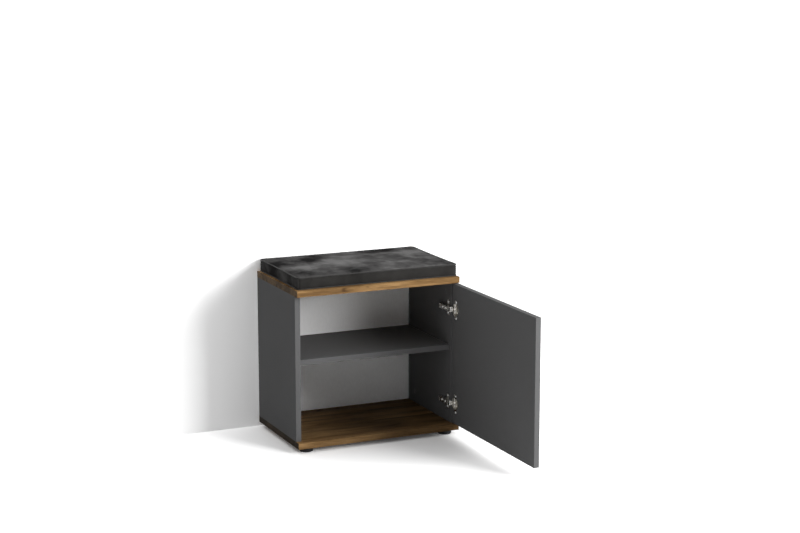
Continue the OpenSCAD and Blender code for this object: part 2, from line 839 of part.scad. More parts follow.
function side_run(a, b, n) = [for (i = [0 : n - 1]) a + (b - a) * (i + 1) / (n + 1)];
function corner_run(c, r, start) = [
    for (i = [0 : corner_steps])
        let (angle = start + 90 * i / corner_steps) c + r * [cos(angle), sin(angle)]
];
function outline(hx, hy, r) = concat(
    corner_run([hx - r, hy - r], r, 0),
    side_run([hx - r, hy], [r - hx, hy], long_steps),
    corner_run([r - hx, hy - r], r, 90),
    side_run([-hx, hy - r], [-hx, r - hy], short_steps),
    corner_run([r - hx, r - hy], r, 180),
    side_run([r - hx, -hy], [hx - r, -hy], long_steps),
    corner_run([hx - r, r - hy], r, 270),
    side_run([hx, r - hy], [hx, hy - r], short_steps)
);
// A point is pulled towards the middle by a share that is greatest half way along its side.
function pull_share(t, reach) = 1 - pow(min(1, abs(t) / reach), pull_power);
function drawn(p, hx, hy, draw) = [
    p.x - sign(p.x) * draw * pull_share(p.y, hy) * pow(abs(p.x) / hx, side_power),
    p.y - sign(p.y) * draw * pull_share(p.x, hx) * pow(abs(p.y) / hy, side_power)
];
function ring(inset, z) = [
    for (p = outline(cushion_w / 2 - inset, cushion_d / 2 - inset, cushion_corner - inset))
        let (q = drawn(p, cushion_w / 2, cushion_d / 2, cushion_draw)) [q.x, q.y, z]
];
function crown_ring(share) = [
    for (p = ring(2 * welt, cushion_t))
        [p.x * share, p.y * share, cushion_t + cushion_crown * (1 - pow(share, crown_power))]
];
cushion_rings = concat(
    [
        ring(2 * welt, 0), ring(welt / 2, welt_z / 4), ring(0, welt_z / 2), ring(welt / 2, welt_z),
        ring(welt, welt_z + welt), ring(welt / 2, cushion_t / 2), ring(welt, cushion_t - welt_z - welt),
        ring(welt / 2, cushion_t - welt_z), ring(0, cushion_t - welt_z / 2),
        ring(welt / 2, cushion_t - welt_z / 4), ring(2 * welt, cushion_t)
    ],
    [for (share = crown_shares) crown_ring(share)]
);
ring_points = len(cushion_rings[0]);
ring_count = len(cushion_rings);
cushion_points = concat(
    [for (r = cushion_rings) each r],
    [[0, 0, 0], [0, 0, cushion_t + cushion_crown]]
);
low_middle = ring_points * ring_count;
high_middle = low_middle + 1;
last_ring = ring_points * (ring_count - 1);
cushion_faces = concat(
    [
        for (k = [0 : ring_count - 2], i = [0 : ring_points - 1])
            let (j = (i + 1) % ring_points, a = k * ring_points, b = a + ring_points)
                each [[a + i, b + i, a + j], [a + j, b + i, b + j]]
    ],
    [for (i = [0 : ring_points - 1]) [low_middle, i, (i + 1) % ring_points]],
    [for (i = [0 : ring_points - 1]) [high_middle, last_ring + (i + 1) % ring_points, last_ring + i]]
);

module seat_cushion() {
    color("darkslategray") placed()
        translate([
            body_w / 2 + cushion_shift,
            -plate_front + cushion_setback + cushion_d / 2,
            top_z + plate_t + cushion_gap
        ])
            polyhedron(points = cushion_points, faces = cushion_faces);
}

top_plate();
base_plate();
left_side();
right_side();
back_panel();
shelf();
shelf_pins();
door();
lower_hinge_cup();
upper_hinge_cup();
lower_hinge_arm();
upper_hinge_arm();
lower_mounting_plate();
upper_mounting_plate();
lower_outer_link();
upper_outer_link();
lower_inner_link();
upper_inner_link();
hinge_arm_pins();
hinge_cup_pins();
hinge_adjusting_screws();
cup_screws();
mounting_plate_screws();
front_left_foot();
front_right_foot();
rear_left_foot();
rear_right_foot();
foot_screws();
cam_locks();
cam_bolts();
dowels();
back_panel_nails();
seat_cushion();
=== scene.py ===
import json
import math

import bpy
import bmesh
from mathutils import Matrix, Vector, noise


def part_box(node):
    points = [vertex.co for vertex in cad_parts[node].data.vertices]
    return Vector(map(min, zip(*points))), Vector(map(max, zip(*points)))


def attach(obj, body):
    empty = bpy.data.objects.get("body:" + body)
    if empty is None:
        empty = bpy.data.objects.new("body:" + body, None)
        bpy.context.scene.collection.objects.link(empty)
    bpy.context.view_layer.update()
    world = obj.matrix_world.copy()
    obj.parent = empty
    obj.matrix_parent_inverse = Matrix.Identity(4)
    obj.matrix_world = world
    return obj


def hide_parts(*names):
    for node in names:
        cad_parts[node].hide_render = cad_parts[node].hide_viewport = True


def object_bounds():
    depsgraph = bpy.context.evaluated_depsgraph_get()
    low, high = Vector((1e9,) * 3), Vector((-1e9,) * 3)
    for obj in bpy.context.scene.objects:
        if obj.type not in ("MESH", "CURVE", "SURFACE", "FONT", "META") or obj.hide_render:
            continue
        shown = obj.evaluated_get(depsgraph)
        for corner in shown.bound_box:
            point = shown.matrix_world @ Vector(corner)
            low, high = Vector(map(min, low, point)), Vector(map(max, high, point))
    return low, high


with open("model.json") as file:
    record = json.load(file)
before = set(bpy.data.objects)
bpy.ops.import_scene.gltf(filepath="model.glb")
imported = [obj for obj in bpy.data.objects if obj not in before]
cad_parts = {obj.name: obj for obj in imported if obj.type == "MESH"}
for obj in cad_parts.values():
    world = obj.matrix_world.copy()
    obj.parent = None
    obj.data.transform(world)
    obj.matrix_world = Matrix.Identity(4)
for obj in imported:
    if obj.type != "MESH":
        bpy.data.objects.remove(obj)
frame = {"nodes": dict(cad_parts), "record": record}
nodes = frame["nodes"]
cadLow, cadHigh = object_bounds()
print("frame loaded, nodes:", len(nodes))


def link(tree, a, b):
    tree.links.new(a, b)


def axesOf(tree, vector):
    # the three numbers of a vector
    made = tree.nodes.new("ShaderNodeSeparateXYZ")
    link(tree, vector, made.inputs[0])
    return made.outputs


# Camera, at the photograph's angle
camera = {
    "place": (-2.1177, -4.7400, 1.5630),
    "turn": 24.307,         # degrees from +Y towards +X
    "tilt": 11.2227,        # degrees below the horizon
    "lens": 85.8905,
    "sensor": 36.0,
    "reach": (0.1, 60.0),   # nearest and farthest thing it sees
}


def makeCamera(settings):
    data = bpy.data.cameras.new("photoCamera")
    data.lens = settings["lens"]
    data.sensor_width = settings["sensor"]
    data.clip_start, data.clip_end = settings["reach"]
    eye = bpy.data.objects.new("photoCamera", data)
    eye.location = settings["place"]
    eye.rotation_euler = (math.radians(90 - settings["tilt"]), 0, -math.radians(settings["turn"]))
    bpy.context.scene.collection.objects.link(eye)
    bpy.context.scene.camera = eye


# Floor, wall and lights
studio = {
    "floorHalf": 9.0,
    "wallGap": 0.004,       # between the bench's back and the wall
    "wallHeight": 5.0,
    "paper": 0.78,          # colour of the paper for the light that bounces off it
    "paperSeen": 1.0,       # its colour for the eye and for mirrors
    "floorLift": (0.04, 0.24),       # what they see on top: less under the bench, a painted shade round it, and more farther off
    "liftReach": (0.3, 0.52),        # where that rises, from the middle of the body
    "wallLift": 0.05,
    "skyTop": 1.15,         # light from straight above
    "skySide": 0.04,        # light from the horizon
    "skySeen": 1.0,         # the white that the eye and mirrors see behind everything
    "keyTurn": 36.0,        # degrees from straight ahead towards the right
    "keyRise": 21.0,
    "keyFar": 4.0,
    "keyWide": 1.9,
    "keyTall": 1.5,
    "keyPower": 215.0,
    "backPower": 30.0,      # from behind, through the wall, for the bench's back
    "backPlace": (0.0, 4.0, 1.6),
    "backSize": 1.6,
    "aim": (0.0, 0.25, 0.25),
}


def sheetOf(name, corners):
    mesh = bpy.data.meshes.new(name)
    mesh.from_pydata(corners, [], [(0, 1, 2, 3)])
    sheet = bpy.data.objects.new(name, mesh)
    bpy.context.scene.collection.objects.link(sheet)
    return sheet


def seenDirectly(tree):
    # 1 for the eye, for mirrors and through glass, 0 for the light that bounces
    path = tree.nodes.new("ShaderNodeLightPath")
    total = path.outputs["Is Camera Ray"]
    for name in ("Is Glossy Ray", "Is Transmission Ray"):
        both = tree.nodes.new("ShaderNodeMath")
        both.operation = "MAXIMUM"
        link(tree, total, both.inputs[0])
        link(tree, path.outputs[name], both.inputs[1])
        total = both.outputs[0]
    return total


def liftWithPaintedShade(tree, settings):
    # low close to the bench, so that its shadow keeps its depth: the floor round the bench is darkened, a
    # painted shade
    spot = tree.nodes.new("ShaderNodeTexCoord")
    away = tree.nodes.new("ShaderNodeVectorMath")
    away.operation = "DISTANCE"
    link(tree, spot.outputs["Object"], away.inputs[0])
    away.inputs[1].default_value = (settings["aim"][0], settings["aim"][1], 0)
    lift = tree.nodes.new("ShaderNodeMapRange")
    lift.interpolation_type = "SMOOTHSTEP"
    lift.inputs["From Min"].default_value = settings["liftReach"][0]
    lift.inputs["From Max"].default_value = settings["liftReach"][1]
    lift.inputs["To Min"].default_value = settings["floorLift"][0]
    lift.inputs["To Max"].default_value = settings["floorLift"][1]
    link(tree, away.outputs["Value"], lift.inputs["Value"])
    return lift.outputs["Result"]


def paperMaterial(settings, oneSided):
    material = bpy.data.materials.new("whitePaperWall" if oneSided else "whitePaperFloor")
    material.use_nodes = True
    tree = material.node_tree
    tree.nodes.clear()
    out = tree.nodes.new("ShaderNodeOutputMaterial")
    diffuse = tree.nodes.new("ShaderNodeBsdfDiffuse")
    seen = seenDirectly(tree)
    shade = tree.nodes.new("ShaderNodeMapRange")
    shade.inputs["To Min"].default_value = settings["paper"]
    shade.inputs["To Max"].default_value = settings["paperSeen"]
    link(tree, seen, shade.inputs["Value"])
    link(tree, shade.outputs["Result"], diffuse.inputs["Color"])
    glow = tree.nodes.new("ShaderNodeEmission")
    scaled = tree.nodes.new("ShaderNodeMath")
    scaled.operation = "MULTIPLY"
    link(tree, seen, scaled.inputs[0])
    if oneSided:
        scaled.inputs[1].default_value = settings["wallLift"]
    else:
        link(tree, liftWithPaintedShade(tree, settings), scaled.inputs[1])
    link(tree, scaled.outputs[0], glow.inputs["Strength"])
    both = tree.nodes.new("ShaderNodeAddShader")
    link(tree, diffuse.outputs[0], both.inputs[0])
    link(tree, glow.outputs[0], both.inputs[1])
    surface = both.outputs[0]
    if oneSided:
        # the wall has no back, so that the bench is seen from behind too
        clear = tree.nodes.new("ShaderNodeBsdfTransparent")
        geometry = tree.nodes.new("ShaderNodeNewGeometry")
        sides = tree.nodes.new("ShaderNodeMixShader")
        link(tree, geometry.outputs["Backfacing"], sides.inputs["Fac"])
        link(tree, surface, sides.inputs[1])
        link(tree, clear.outputs[0], sides.inputs[2])
        surface = sides.outputs[0]
    link(tree, surface, out.inputs["Surface"])
    return material


def makeStage(settings):
    half = settings["floorHalf"]
    floor = sheetOf("floor", [(-half, -half, 0), (half, -half, 0), (half, half, 0), (-half, half, 0)])
    floor.data.materials.append(paperMaterial(settings, False))
    y = cadHigh[1] + settings["wallGap"]
    top = settings["wallHeight"]
    wall = sheetOf("wall", [(-half, y, 0), (half, y, 0), (half, y, top), (-half, y, top)])
    wall.data.materials.append(paperMaterial(settings, True))
    wall.visible_diffuse = False
    wall.visible_glossy = False
    wall.visible_transmission = False
    wall.visible_shadow = False


def makeLamp(name, place, target, wide, tall, power):
    data = bpy.data.lights.new(name, "AREA")
    data.shape = "RECTANGLE"
    data.size = wide
    data.size_y = tall
    data.energy = power
    lamp = bpy.data.objects.new(name, data)
    lamp.location = place
    lamp.rotation_euler = (Vector(target) - Vector(place)).to_track_quat("-Z", "Y").to_euler()
    bpy.context.scene.collection.objects.link(lamp)


def makeLamps(settings):
    aim = Vector(settings["aim"])
    turn = math.radians(settings["keyTurn"])
    rise = math.radians(settings["keyRise"])
    way = Vector((math.sin(turn) * math.cos(rise), -math.cos(turn) * math.cos(rise), math.sin(rise)))
    place = aim + way * settings["keyFar"]
    makeLamp("keyLamp", place, aim, settings["keyWide"], settings["keyTall"], settings["keyPower"])
    size = settings["backSize"]
    makeLamp("backLamp", settings["backPlace"], settings["aim"], size, size, settings["backPower"])


def makeWorld(settings):
    world = bpy.data.worlds.new("studioWorld")
    bpy.context.scene.world = world
    world.use_nodes = True
    tree = world.node_tree
    tree.nodes.clear()
    out = tree.nodes.new("ShaderNodeOutputWorld")
    white = tree.nodes.new("ShaderNodeBackground")
    white.inputs["Color"].default_value = (1, 1, 1, 1)
    white.inputs["Strength"].default_value = settings["skySeen"]
    soft = tree.nodes.new("ShaderNodeBackground")
    soft.inputs["Color"].default_value = (1, 1, 1, 1)
    # a dome that is bright above and almost dark at the horizon
    way = tree.nodes.new("ShaderNodeTexCoord")
    dome = tree.nodes.new("ShaderNodeMapRange")
    dome.inputs["To Min"].default_value = settings["skySide"]
    dome.inputs["To Max"].default_value = settings["skyTop"]
    link(tree, axesOf(tree, way.outputs["Generated"])["Z"], dome.inputs["Value"])
    link(tree, dome.outputs["Result"], soft.inputs["Strength"])
    mix = tree.nodes.new("ShaderNodeMixShader")
    link(tree, seenDirectly(tree), mix.inputs["Fac"])
    link(tree, soft.outputs[0], mix.inputs[1])
    link(tree, white.outputs[0], mix.inputs[2])
    link(tree, mix.outputs[0], out.inputs["Surface"])


makeCamera(camera)
makeStage(studio)
makeWorld(studio)
makeLamps(studio)
bpy.context.scene.view_settings.view_transform = "Standard"
print("studio ready")


# Node helpers for the materials
noiseSpan = (0.3, 0.7)      # most values of a noise lie between these


def newMaterial(name):
    material = bpy.data.materials.new(name)
    material.use_nodes = True
    tree = material.node_tree
    tree.nodes.clear()
    out = tree.nodes.new("ShaderNodeOutputMaterial")
    shader = tree.nodes.new("ShaderNodeBsdfPrincipled")
    link(tree, shader.outputs[0], out.inputs["Surface"])
    return material, tree, shader


def stretched(tree, vector, stretch):
    made = tree.nodes.new("ShaderNodeMapping")
    made.inputs["Scale"].default_value = stretch
    link(tree, vector, made.inputs["Vector"])
    return made.outputs["Vector"]


def placeOn(tree, stretch=(1, 1, 1)):
    # coordinates in metres, stretched so that a pattern lies along one direction
    spot = tree.nodes.new("ShaderNodeTexCoord")
    return stretched(tree, spot.outputs["Object"], stretch)


def noiseOf(tree, vector, scale, detail, rough, distortion=0.0):
    made = tree.nodes.new("ShaderNodeTexNoise")
    made.inputs["Scale"].default_value = scale
    made.inputs["Detail"].default_value = detail
    made.inputs["Roughness"].default_value = rough
    made.inputs["Distortion"].default_value = distortion
    link(tree, vector, made.inputs["Vector"])
    return made.outputs["Fac"]


def rampOf(tree, value, stops):
    made = tree.nodes.new("ShaderNodeValToRGB")
    stripes = made.color_ramp.elements
    while len(stripes) < len(stops):
        stripes.new(0.5)
    for stripe, (place, colour) in zip(stripes, stops):
        stripe.position = place
        stripe.color = (*colour, 1)
    link(tree, value, made.inputs["Fac"])
    return made.outputs["Color"]


def rangeOf(tree, value, low, high, toLow, toHigh):
    made = tree.nodes.new("ShaderNodeMapRange")
    made.inputs["From Min"].default_value = low
    made.inputs["From Max"].default_value = high
    made.inputs["To Min"].default_value = toLow
    made.inputs["To Max"].default_value = toHigh
    link(tree, value, made.inputs["Value"])
    return made.outputs["Result"]


def mathOf(tree, kind, a, b=0):
    made = tree.nodes.new("ShaderNodeMath")
    made.operation = kind
    for socket, value in zip(made.inputs, (a, b)):
        if isinstance(value, (int, float)):
            socket.default_value = value
        else:
            link(tree, value, socket)
    return made.outputs[0]


def vectorMathOf(tree, kind, *values):
    made = tree.nodes.new("ShaderNodeVectorMath")
    made.operation = kind
    for socket, value in zip(made.inputs, values):
        if isinstance(value, tuple):
            socket.default_value = value
        else:
            link(tree, value, socket)
    return made.outputs


def mixColours(tree, factor, a, b, kind="MIX"):
    made = tree.nodes.new("ShaderNodeMix")
    made.data_type = "RGBA"
    made.blend_type = kind
    # with colours, the node's inputs 0, 6 and 7 and its output 2 are the ones in use
    for socket, value in ((made.inputs[0], factor), (made.inputs[6], a), (made.inputs[7], b)):
        if isinstance(value, (int, float)):
            socket.default_value = value
        elif isinstance(value, tuple):
            socket.default_value = (*value, 1)
        else:
            link(tree, value, socket)
    return made.outputs[2]


def tinted(tree, colour, tone):
    return mixColours(tree, 1.0, colour, tone, "MULTIPLY")


def bumpOf(tree, shader, height, strength, distance):
    made = tree.nodes.new("ShaderNodeBump")
    made.inputs["Strength"].default_value = strength
    made.inputs["Distance"].default_value = distance
    link(tree, height, made.inputs["Height"])
    link(tree, made.outputs["Normal"], shader.inputs["Normal"])
    return made


# Oak-brown laminate of the top plate and the base plate, grain along X
oakBoard = {
    "dark": (0.05, 0.028, 0.013),
    "middle": (0.18, 0.102, 0.041),
    "light": (0.35, 0.212, 0.093),
    "knot": (0.03, 0.014, 0.007),
    "plank": 0.11,
    "plankShift": (3.71, 1.93),      # how far the figure moves on from plank to plank, along X and Z
    "plankTone": (0.72, 1.1),        # darkest and lightest plank
    # patterns: their stretch, scale, detail, roughness and distortion
    "broad": ((1.6, 9, 9), 2.2, 3, 0.5, 0.8),
    "streak": ((2.5, 60, 60), 3.0, 6, 0.62, 0.4),
    "fine": ((14, 420, 420), 3.0, 4, 0.6),
    "knots": ((5, 16, 16), 1.7, 2, 0.5, 1.5),
    "figure": (0.62, 0.38),          # shares of the broad pattern and of the streaks
    "stops": (0.3, 0.47, 0.64),      # where dark, middle and light wood lie on them
    "knotSpan": (0.66, 0.76),
    "knotMost": 0.75,
    "poreSpan": (0.38, 0.5),
    "poreTone": 0.68,
    "pore": 0.0004,
    "poreBump": 0.35,
    "roughness": (0.5, 0.66),
    "gloss": 0.03,
    "baseBelow": (0.1, 0.2),         # height that tells the base plate from the top plate
    "paintedBaseShade": (0.92, 0.5),         # painted shade: the base plate gets darker from left to right
    "paintedBaseShadeSpan": (-0.24, 0),
    "endGrain": (0.36, 0.4, 0.5),    # the short edges are darker
    "endSpan": (0.6, 0.8),
    "paintedBaseEndShade": 0.3,                  # and those of the base plate darker still: painted shade near the floor
}


def makeOak(settings):
    material, tree, shader = newMaterial("oakBoard")
    spot = tree.nodes.new("ShaderNodeTexCoord")
    place = axesOf(tree, spot.outputs["Object"])
    # planks lie side by side across Y, each with its own shade and its own stretch of grain
    plank = mathOf(tree, "FLOOR", mathOf(tree, "DIVIDE", place["Y"], settings["plank"]))
    shift = tree.nodes.new("ShaderNodeCombineXYZ")
    for axis, step in zip("XZ", settings["plankShift"]):
        link(tree, mathOf(tree, "MULTIPLY", plank, step), shift.inputs[axis])
    moved = vectorMathOf(tree, "ADD", spot.outputs["Object"], shift.outputs[0])[0]

    def pattern(name):
        stretch, *kind = settings[name]
        return noiseOf(tree, stretched(tree, moved, stretch), *kind)

    broadShare, streakShare = settings["figure"]
    broad = mathOf(tree, "MULTIPLY", pattern("broad"), broadShare)
    streak = mathOf(tree, "MULTIPLY", pattern("streak"), streakShare)
    fine = pattern("fine")
    shades = [settings[shade] for shade in ("dark", "middle", "light")]
    colour = rampOf(tree, mathOf(tree, "ADD", broad, streak), list(zip(settings["stops"], shades)))
    knotShare = rangeOf(tree, pattern("knots"), *settings["knotSpan"], 0, settings["knotMost"])
    colour = mixColours(tree, knotShare, colour, settings["knot"])
    colour = tinted(tree, colour, rangeOf(tree, fine, *settings["poreSpan"], settings["poreTone"], 1))
    white = tree.nodes.new("ShaderNodeTexWhiteNoise")
    white.noise_dimensions = "1D"
    link(tree, plank, white.inputs["W"])
    colour = tinted(tree, colour, rangeOf(tree, white.outputs["Value"], 0, 1, *settings["plankTone"]))
    # painted shade: the base plate is darker than the top plate, more and more from left to right
    tone = rangeOf(tree, place["X"], *settings["paintedBaseShadeSpan"], *settings["paintedBaseShade"])
    lowBoard = rangeOf(tree, place["Z"], *settings["baseBelow"], 1, 0)
    colour = mixColours(tree, lowBoard, colour, tinted(tree, colour, tone))
    facing = axesOf(tree, spot.outputs["Normal"])
    short = rangeOf(tree, mathOf(tree, "ABSOLUTE", facing["X"]), *settings["endSpan"], 0, 1)
    # painted shade: the base plate's short edges made darker still near the floor
    low = rangeOf(tree, place["Z"], *settings["baseBelow"], settings["paintedBaseEndShade"], 1)
    endsWithPaintedShade = tinted(tree, tinted(tree, colour, settings["endGrain"]), low)
    colour = mixColours(tree, short, colour, endsWithPaintedShade)
    link(tree, colour, shader.inputs["Base Color"])
    smooth, rough = settings["roughness"]
    link(tree, rangeOf(tree, fine, *noiseSpan, rough, smooth), shader.inputs["Roughness"])
    shader.inputs["Specular IOR Level"].default_value = settings["gloss"]
    bumpOf(tree, shader, fine, settings["poreBump"], settings["pore"])
    return material


# Charcoal laminate of the sides, the shelf and the door: even, with a fine pearl grain
charcoalBoard = {
    "colour": (0.1, 0.1, 0.101),
    "shade": (0.091, 0.091, 0.092),
    "cloud": (5.0, 3, 0.5),          # patterns: scale, detail, roughness
    "speck": (1500, 2, 0.5),
    "speckTone": (0.93, 1.06),
    "roughness": (0.55, 0.65),
    "gloss": 0.02,
    "grain": 0.00012,
    "grainBump": 0.3,
    "outer": 0.72,          # painted shade: the outer faces of the two sides are darker
    "outerFrom": 0.241,     # they lie farther than this from the middle
    "outerFacing": 0.8,
}


def makeCharcoal(settings):
    material, tree, shader = newMaterial("charcoalBoard")
    cloud = noiseOf(tree, placeOn(tree), *settings["cloud"])
    colour = mixColours(tree, cloud, settings["shade"], settings["colour"])
    speck = noiseOf(tree, placeOn(tree), *settings["speck"])
    colour = tinted(tree, colour, rangeOf(tree, speck, *noiseSpan, *settings["speckTone"]))
    # painted shade on the outer faces of the two sides
    spot = tree.nodes.new("ShaderNodeTexCoord")
    across = mathOf(tree, "ABSOLUTE", axesOf(tree, spot.outputs["Object"])["X"])
    facing = mathOf(tree, "ABSOLUTE", axesOf(tree, spot.outputs["Normal"])["X"])
    beyond = mathOf(tree, "GREATER_THAN", across, settings["outerFrom"])
    beside = mathOf(tree, "GREATER_THAN", facing, settings["outerFacing"])
    outer = rangeOf(tree, mathOf(tree, "MULTIPLY", beyond, beside), 0, 1, 1, settings["outer"])
    link(tree, tinted(tree, colour, outer), shader.inputs["Base Color"])
    link(tree, rangeOf(tree, cloud, *noiseSpan, *settings["roughness"]), shader.inputs["Roughness"])
    shader.inputs["Specular IOR Level"].default_value = settings["gloss"]
    bumpOf(tree, shader, speck, settings["grainBump"], settings["grain"])
    return material


# Thin light-grey board of the back
backBoard = {
    "colour": (0.9, 0.9, 0.9),
    "fibre": (0.86, 0.86, 0.86),
    "fibres": (260, 5, 0.6),
    "fibreStretch": (1, 1, 0.35),
    "fibreSpan": (0.35, 0.65),
    "fibreDepth": 0.0002,
    "fibreBump": 0.25,
    "cloud": (6, 2, 0.5),
    "cloudTone": (0.96, 1.02),
    "roughness": 0.6,
}


def makeBack(settings):
    material, tree, shader = newMaterial("backBoard")
    fibres = noiseOf(tree, placeOn(tree, settings["fibreStretch"]), *settings["fibres"])
    cloud = noiseOf(tree, placeOn(tree), *settings["cloud"])
    share = rangeOf(tree, fibres, *settings["fibreSpan"], 0, 1)
    colour = mixColours(tree, share, settings["colour"], settings["fibre"])
    colour = tinted(tree, colour, rangeOf(tree, cloud, *noiseSpan, *settings["cloudTone"]))
    link(tree, colour, shader.inputs["Base Color"])
    shader.inputs["Roughness"].default_value = settings["roughness"]
    bumpOf(tree, shader, fibres, settings["fibreBump"], settings["fibreDepth"])
    return material


# Metals: nickel of the hinges, zinc of the screws and cast zinc of the cams
metals = {
    "nickelPlate": {
        "colour": (0.66, 0.64, 0.6), "roughness": (0.2, 0.34),
        "brush": (900, 60, 60), "depth": 0.00002,
    },
    "zincSteel": {
        "colour": (0.7, 0.7, 0.7), "roughness": (0.26, 0.42),
        "brush": (300, 300, 300), "depth": 0.00003,
    },
    "castZinc": {
        "colour": (0.55, 0.55, 0.55), "roughness": (0.45, 0.62),
        "brush": (700, 700, 700), "depth": 0.00008,
    },
    "rub": (3.0, 4, 0.6),       # fine marks that the brush leaves
    "smudge": (90, 3, 0.5),
    "smudgeTone": (0.86, 1.0),
    "rubBump": 0.3,
}


def makeMetal(name, settings):
    material, tree, shader = newMaterial(name)
    own = settings[name]
    shader.inputs["Metallic"].default_value = 1.0
    rub = noiseOf(tree, placeOn(tree, own["brush"]), *settings["rub"])
    smudge = noiseOf(tree, placeOn(tree), *settings["smudge"])
    tone = rangeOf(tree, smudge, *noiseSpan, *settings["smudgeTone"])
    link(tree, tinted(tree, own["colour"], tone), shader.inputs["Base Color"])
    link(tree, rangeOf(tree, smudge, *noiseSpan, *own["roughness"]), shader.inputs["Roughness"])
    bumpOf(tree, shader, rub, settings["rubBump"], own["depth"])
    return material


# Black moulded plastic of the feet
footPlastic = {
    "colour": (0.009, 0.009, 0.01),
    "pattern": (1300, 3, 0.6),
    "roughness": (0.5, 0.65),
    "gloss": 0.15,
    "grain": 0.00015,
    "grainBump": 0.4,
}


def makePlastic(settings):
    material, tree, shader = newMaterial("footPlastic")
    grain = noiseOf(tree, placeOn(tree), *settings["pattern"])
    shader.inputs["Base Color"].default_value = (*settings["colour"], 1)
    link(tree, rangeOf(tree, grain, *noiseSpan, *settings["roughness"]), shader.inputs["Roughness"])
    shader.inputs["Specular IOR Level"].default_value = settings["gloss"]
    bumpOf(tree, shader, grain, settings["grainBump"], settings["grain"])
    return material


# Raw beech of the dowels, grain along Z
beech = {
    "dark": (0.42, 0.26, 0.14),
    "light": (0.56, 0.38, 0.23),
    "stops": (0.35, 0.65),
    "pattern": (900, 4, 0.6),
    "stretch": (1, 1, 0.05),
    "roughness": 0.75,
    "grain": 0.0001,
    "grainBump": 0.3,
}


def makeBeech(settings):
    material, tree, shader = newMaterial("rawBeech")
    grain = noiseOf(tree, placeOn(tree, settings["stretch"]), *settings["pattern"])
    shades = (settings["dark"], settings["light"])
    link(tree, rampOf(tree, grain, list(zip(settings["stops"], shades))), shader.inputs["Base Color"])
    shader.inputs["Roughness"].default_value = settings["roughness"]
    bumpOf(tree, shader, grain, settings["grainBump"], settings["grain"])
    return material


# Cushion cover: dark brushed fabric; the light clouds of its top are painted sheen
coverFabric = {
    "dark": (0.017, 0.0165, 0.0165),
    "middle": (0.07, 0.0685, 0.068),
    "light": (0.15, 0.148, 0.147),
    "stops": (0.36, 0.5, 0.66),
    "border": (0.0235, 0.0226, 0.0216),    # the border panels are darker than the clouded top, whose lightness is painted sheen
    "borderSpan": (0.35, 0.65),
    "borderTone": (0.75, 1.3),
    "topSpan": (0.3, 0.75),                # from where a face counts as the top
    "sheenOverSide": 0.55,                      # how far the top's painted sheen runs over onto the short panels
    "sideSpan": (0.5, 0.9),
    "cloud": (16, 3, 0.45, 0.5),
    "mottle": (40, 4, 0.55, 0.3),
    "cloudShare": 0.4,
    "mottleShare": 0.2,
    "thread": 0.0006,
    "uprightThreads": 0.6,
    "weaveSpan": (-1.6, 1.6),
    "weaveTone": (0.86, 1.12),
    "weaveDepth": 0.0001,
    "weaveBump": 0.45,
    "napDepth": 0.004,
    "napBump": 0.25,
    "roughness": (0.6, 0.75),
    "roughSpan": (0.38, 0.62),
    "gloss": 0.0,
    # places of the top where the painted sheen is weaker or stronger: x, y, radius, and how much darker
    # or lighter
    "sheenPatches": (
        (-0.118, 0.292, 0.052, -0.2), (-0.095, 0.35, 0.04, -0.1), (0.125, 0.372, 0.06, -0.16),
        (-0.07, 0.125, 0.06, -0.14), (-0.24, 0.3, 0.06, -0.16), (-0.225, 0.15, 0.05, -0.12),
        (0.235, 0.12, 0.05, -0.08), (-0.05, 0.255, 0.085, 0.13), (0.03, 0.31, 0.05, 0.06),
        (0.085, 0.17, 0.06, 0.08), (0.19, 0.31, 0.07, 0.07), (-0.17, 0.205, 0.055, 0.12),
    ),
    "sheenPatchSoft": 1.25,                   # how far a place reaches, in radii
    "drift": (0.09, 0.07),                 # how far its outline wanders along X and Y
    "driftScale": 13,
    "driftDetail": 3,
}


def paintedSheenOf(tree, flat, settings):
    # soft patches of painted sheen with wandering outlines
    driftX, driftY = settings["drift"]
    drift = tree.nodes.new("ShaderNodeTexNoise")
    drift.inputs["Scale"].default_value = settings["driftScale"]
    drift.inputs["Detail"].default_value = settings["driftDetail"]
    link(tree, flat, drift.inputs["Vector"])
    shifted = vectorMathOf(tree, "MULTIPLY_ADD", drift.outputs["Color"], (driftX, driftY, 0), flat)[0]
    total = 0.5
    for x, y, radius, change in settings["sheenPatches"]:
        back = (-x - driftX / 2, -y - driftY / 2, 0)
        level = vectorMathOf(tree, "MULTIPLY_ADD", shifted, (1, 1, 0), back)[0]
        patch = tree.nodes.new("ShaderNodeMapRange")
        patch.interpolation_type = "SMOOTHSTEP"
        patch.inputs["From Min"].default_value = radius * settings["sheenPatchSoft"]
        patch.inputs["From Max"].default_value = 0
        patch.inputs["To Max"].default_value = change
        link(tree, vectorMathOf(tree, "LENGTH", level)["Value"], patch.inputs["Value"])
        total = mathOf(tree, "ADD", total, patch.outputs["Result"])
    return total


def weaveOf(tree, place, settings):
    # two sets of threads cross each other, seen on every face because all three directions take part
    turn = 2 * math.pi / settings["thread"]
    waves = [mathOf(tree, "SINE", mathOf(tree, "MULTIPLY", place[axis], turn)) for axis in "XYZ"]
    level = mathOf(tree, "MULTIPLY", waves[0], waves[1])
    return mathOf(tree, "ADD", level, mathOf(tree, "MULTIPLY", waves[2], settings["uprightThreads"]))


